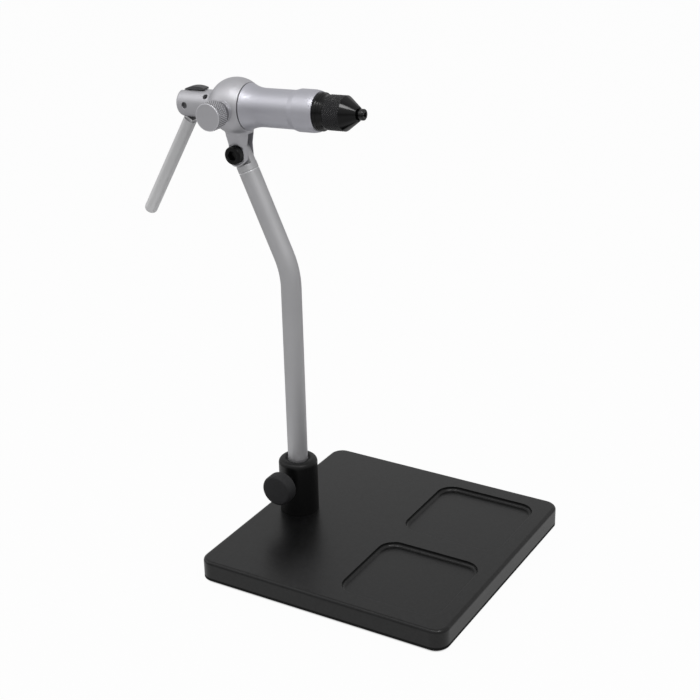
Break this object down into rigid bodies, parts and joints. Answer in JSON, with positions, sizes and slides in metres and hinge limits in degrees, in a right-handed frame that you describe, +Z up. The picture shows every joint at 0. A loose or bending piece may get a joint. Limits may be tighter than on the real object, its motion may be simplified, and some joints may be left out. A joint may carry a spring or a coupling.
{
  "type": "fly tying vise",
  "caption": "Pedestal fly tying vise with a weighted tray base, bent stem, tilting ball head, turning barrel and a lever-drawn collet that grips a hook.",
  "frame": {"origin": "on the bench, under the middle of the base", "axes": "+Z up, +X the way the collet points, -Y the tyer's side with the knobs"},
  "size_m": [0.2299, 0.1524, 0.2664],
  "materials": {
    "black_coat": "satin black powder coat on steel plate",
    "rubber": "matte black sheet",
    "post_black": "satin black anodised",
    "black_steel": "black oxide, oiled",
    "liner": "moulded bearing plastic",
    "knob_plastic": "fine matte black",
    "steel": "plain turned",
    "brass": "plain turned",
    "stem_steel": "bead blasted, matte grey",
    "silver": "satin clear anodised"
  },
  "bodies": {
    "base": {"base_plate": "black_coat", "base_pad": "rubber", "post": "post_black", "post_bolt": "black_steel"},
    "clamp_screw": {"clamp_knob": "knob_plastic", "clamp_stud": "steel", "clamp_tip": "brass"},
    "swivel": {"post_liner": "liner"},
    "stem": {"stem": "stem_steel", "stem_tang": "stem_steel"},
    "head": {"head_housing": "silver", "pivot_screw": "black_steel", "lock_pad": "brass", "retaining_grub": "black_steel", "lever_pin": "steel", "thrust_washer": "liner"},
    "lock_screw": {"lock_knob": "silver"},
    "barrel": {"barrel": "silver", "key_pin": "steel", "return_spring": "steel"},
    "nose": {"collet_nut": "black_steel"},
    "draw": {"draw_bar": "black_steel", "draw_button": "steel"},
    "collet": {"collet": "black_steel", "swivel_ring": "steel"},
    "lever": {"lever_yoke": "black_steel", "lever_rod": "stem_steel", "draw_pin": "steel"}
  },
  "joints": [
    {"name": "clamp_turn", "type": "hinge", "parent": "base", "child": "clamp_screw", "pos_m": [-0.0568, 0, 0.0356], "axis": [0, -1, 0], "range_deg": [0, 360]},
    {"name": "stem_swivel", "type": "hinge", "parent": "base", "child": "swivel", "pos_m": [-0.0568, 0, 0.0131], "axis": [0, 0, 1], "continuous": true},
    {"name": "stem_height", "type": "slide", "parent": "swivel", "child": "stem", "axis": [0, 0, 1], "range_m": [0, 0.01]},
    {"name": "head_tilt", "type": "hinge", "parent": "stem", "child": "head", "pos_m": [-0.08546, 0, 0.22568], "axis": [0, -1, 0], "range_deg": [-25, 40]},
    {"name": "lock_turn", "type": "hinge", "parent": "head", "child": "lock_screw", "pos_m": [-0.08671, 0, 0.25115], "axis": [0, -1, 0], "range_deg": [0, 360]},
    {"name": "barrel_spin", "type": "hinge", "parent": "head", "child": "barrel", "pos_m": [-0.08671, 0, 0.25115], "axis": [0.9988, 0, 0.0489], "continuous": true},
    {"name": "nose_turn", "type": "hinge", "parent": "barrel", "child": "nose", "pos_m": [-0.03417, 0, 0.25372], "axis": [0.9988, 0, 0.0489], "range_deg": [-180, 180]},
    {"name": "lever_swing", "type": "hinge", "parent": "head", "child": "lever", "pos_m": [-0.11628, 0, 0.24971], "axis": [0, 1, 0], "range_deg": [-20, 45]},
    {"name": "bar_draw", "type": "slide", "parent": "head", "child": "draw", "axis": [0.9988, 0, 0.0489], "range_m": [-0.00139, 0.00313]},
    {"name": "collet_draw", "type": "slide", "parent": "barrel", "child": "collet", "axis": [0.9988, 0, 0.0489], "range_m": [-0.00139, 0.00313], "deforming": ["return_spring"]}
  ],
  "couplings": [
    {"joint": "bar_draw", "follows": "lever_swing", "m_per_rad": 0.003978},
    {"joint": "collet_draw", "follows": "lever_swing", "m_per_rad": 0.003978}
  ]
}
